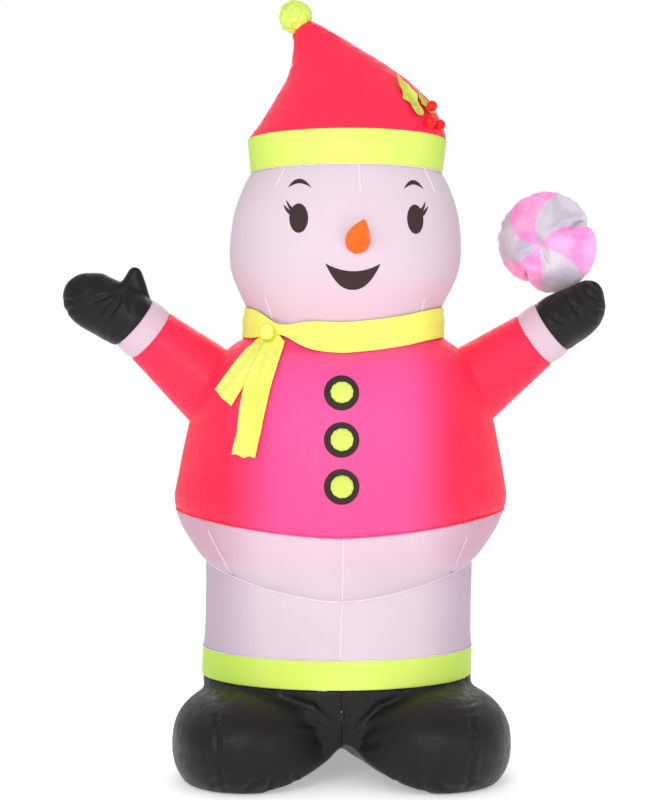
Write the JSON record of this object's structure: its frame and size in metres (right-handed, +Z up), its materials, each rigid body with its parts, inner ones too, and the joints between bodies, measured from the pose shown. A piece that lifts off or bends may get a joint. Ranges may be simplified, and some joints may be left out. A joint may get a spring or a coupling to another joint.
{
  "type": "inflatable snowman yard decoration",
  "caption": "Tall air-filled snowman in hat, scarf and jacket, arms raised with a swirl candy on one mitten, sewn in panels with a fan in the base",
  "frame": {"origin": "on the ground under the middle of the bounding box", "axes": "+Z up, the face and buttons look along -Y, the arm that holds the candy is on +X"},
  "size_m": [1.5094, 0.8396, 2.1292],
  "materials": {
    "pink_fabric": "satin woven polyester",
    "white_fabric": "satin woven polyester",
    "lime_fabric": "satin woven polyester",
    "scarf_cloth": "soft woven cloth",
    "black_fabric": "satin woven polyester",
    "candy_fabric": "satin woven polyester, printed swirl",
    "black_applique": "matt cloth",
    "orange_fabric": "satin woven polyester",
    "leaf_cloth": "soft woven cloth",
    "berry_cloth": "satin cloth over filling",
    "webbing": "woven webbing",
    "black_plastic": "moulded, fine texture",
    "lamp_cover": "frosted, translucent",
    "steel": "plated"
  },
  "bodies": {
    "figure": {"base_rear_panel": "black_fabric", "belly_panel": "white_fabric", "blower_duct": "black_plastic", "boot_left": "black_fabric", "boot_right": "black_fabric", "brow_left": "black_applique", "brow_right": "black_applique", "button_pad_1": "lime_fabric", "button_pad_2": "lime_fabric", "button_pad_3": "lime_fabric", "button_ring_1": "black_applique", "button_ring_2": "black_applique", "button_ring_3": "black_applique", "candy_back": "candy_fabric", "candy_front": "candy_fabric", "cuff_left": "white_fabric", "cuff_right": "white_fabric", "eye_left": "black_applique", "eye_right": "black_applique", "fan_motor": "steel", "hat_band": "lime_fabric", "hat_cone": "pink_fabric", "hat_pompom": "lime_fabric", "head": "white_fabric", "hem_band": "lime_fabric", "holly_berry_1": "berry_cloth", "holly_berry_2": "berry_cloth", "holly_berry_3": "berry_cloth", "intake_grille": "black_plastic", "jacket": "pink_fabric", "lamp_cover": "lamp_cover", "lamp_socket": "black_plastic", "lamp_strap": "webbing", "leg_panel": "white_fabric", "mitten_left": "black_fabric", "mitten_right": "black_fabric", "motor_bracket": "black_plastic", "mounting_ring": "black_plastic", "mouth": "black_applique", "nose": "orange_fabric", "outlet_grille": "black_plastic", "power_inlet": "black_plastic", "scarf_band": "scarf_cloth", "scarf_knot": "scarf_cloth", "sleeve_left": "pink_fabric", "sleeve_right": "pink_fabric", "tether_loop_left": "webbing", "tether_loop_right": "webbing", "zip_tape": "webbing"},
    "fan_rotor": {"fan_shaft": "steel", "fan_impeller": "black_plastic"},
    "zip_slider": {"zip_slider": "steel"},
    "zip_pull": {"zip_pull": "steel"},
    "scarf_tail_long": {"scarf_tail_long": "scarf_cloth"},
    "scarf_tail_short": {"scarf_tail_short": "scarf_cloth"},
    "holly_leaf_large": {"holly_leaf_large": "leaf_cloth"},
    "holly_leaf_small": {"holly_leaf_small": "leaf_cloth"},
    "stake_loop_left": {"stake_loop_left": "webbing"},
    "stake_loop_right": {"stake_loop_right": "webbing"}
  },
  "joints": [
    {"name": "fan_spin", "type": "hinge", "parent": "figure", "child": "fan_rotor", "pos_m": [0.0193, 0.3103, 0.15], "axis": [0, 1, 0], "continuous": true},
    {"name": "zip_open", "type": "slide", "parent": "figure", "child": "zip_slider", "axis": [0, 0, -1], "range_m": [0, 0.136]},
    {"name": "zip_pull_swing", "type": "hinge", "parent": "zip_slider", "child": "zip_pull", "pos_m": [0.0193, 0.3537, 0.546], "axis": [1, 0, 0], "range_deg": [0, 120]},
    {"name": "scarf_tail_long_lift", "type": "hinge", "parent": "figure", "child": "scarf_tail_long", "pos_m": [-0.1847, -0.2007, 1.139], "axis": [-0.8744, 0.4852, 0], "range_deg": [0, 24]},
    {"name": "scarf_tail_short_lift", "type": "hinge", "parent": "figure", "child": "scarf_tail_short", "pos_m": [-0.1967, -0.1779, 1.15], "axis": [-0.8161, 0.5779, 0], "range_deg": [0, 60]},
    {"name": "holly_leaf_large_lift", "type": "hinge", "parent": "figure", "child": "holly_leaf_large", "pos_m": [0.2359, -0.1446, 1.78], "axis": [0.6507, 0.7357, 0.188], "range_deg": [0, 35]},
    {"name": "holly_leaf_small_lift", "type": "hinge", "parent": "figure", "child": "holly_leaf_small", "pos_m": [0.2706, -0.1033, 1.7929], "axis": [0.4854, 0.8727, 0.0525], "range_deg": [0, 15]},
    {"name": "stake_loop_left_lift", "type": "hinge", "parent": "figure", "child": "stake_loop_left", "pos_m": [-0.1857, 0.2679, 0.003], "axis": [1, 0, 0], "range_deg": [0, 80]},
    {"name": "stake_loop_right_lift", "type": "hinge", "parent": "figure", "child": "stake_loop_right", "pos_m": [0.2243, 0.2679, 0.003], "axis": [1, 0, 0], "range_deg": [0, 80]}
  ]
}
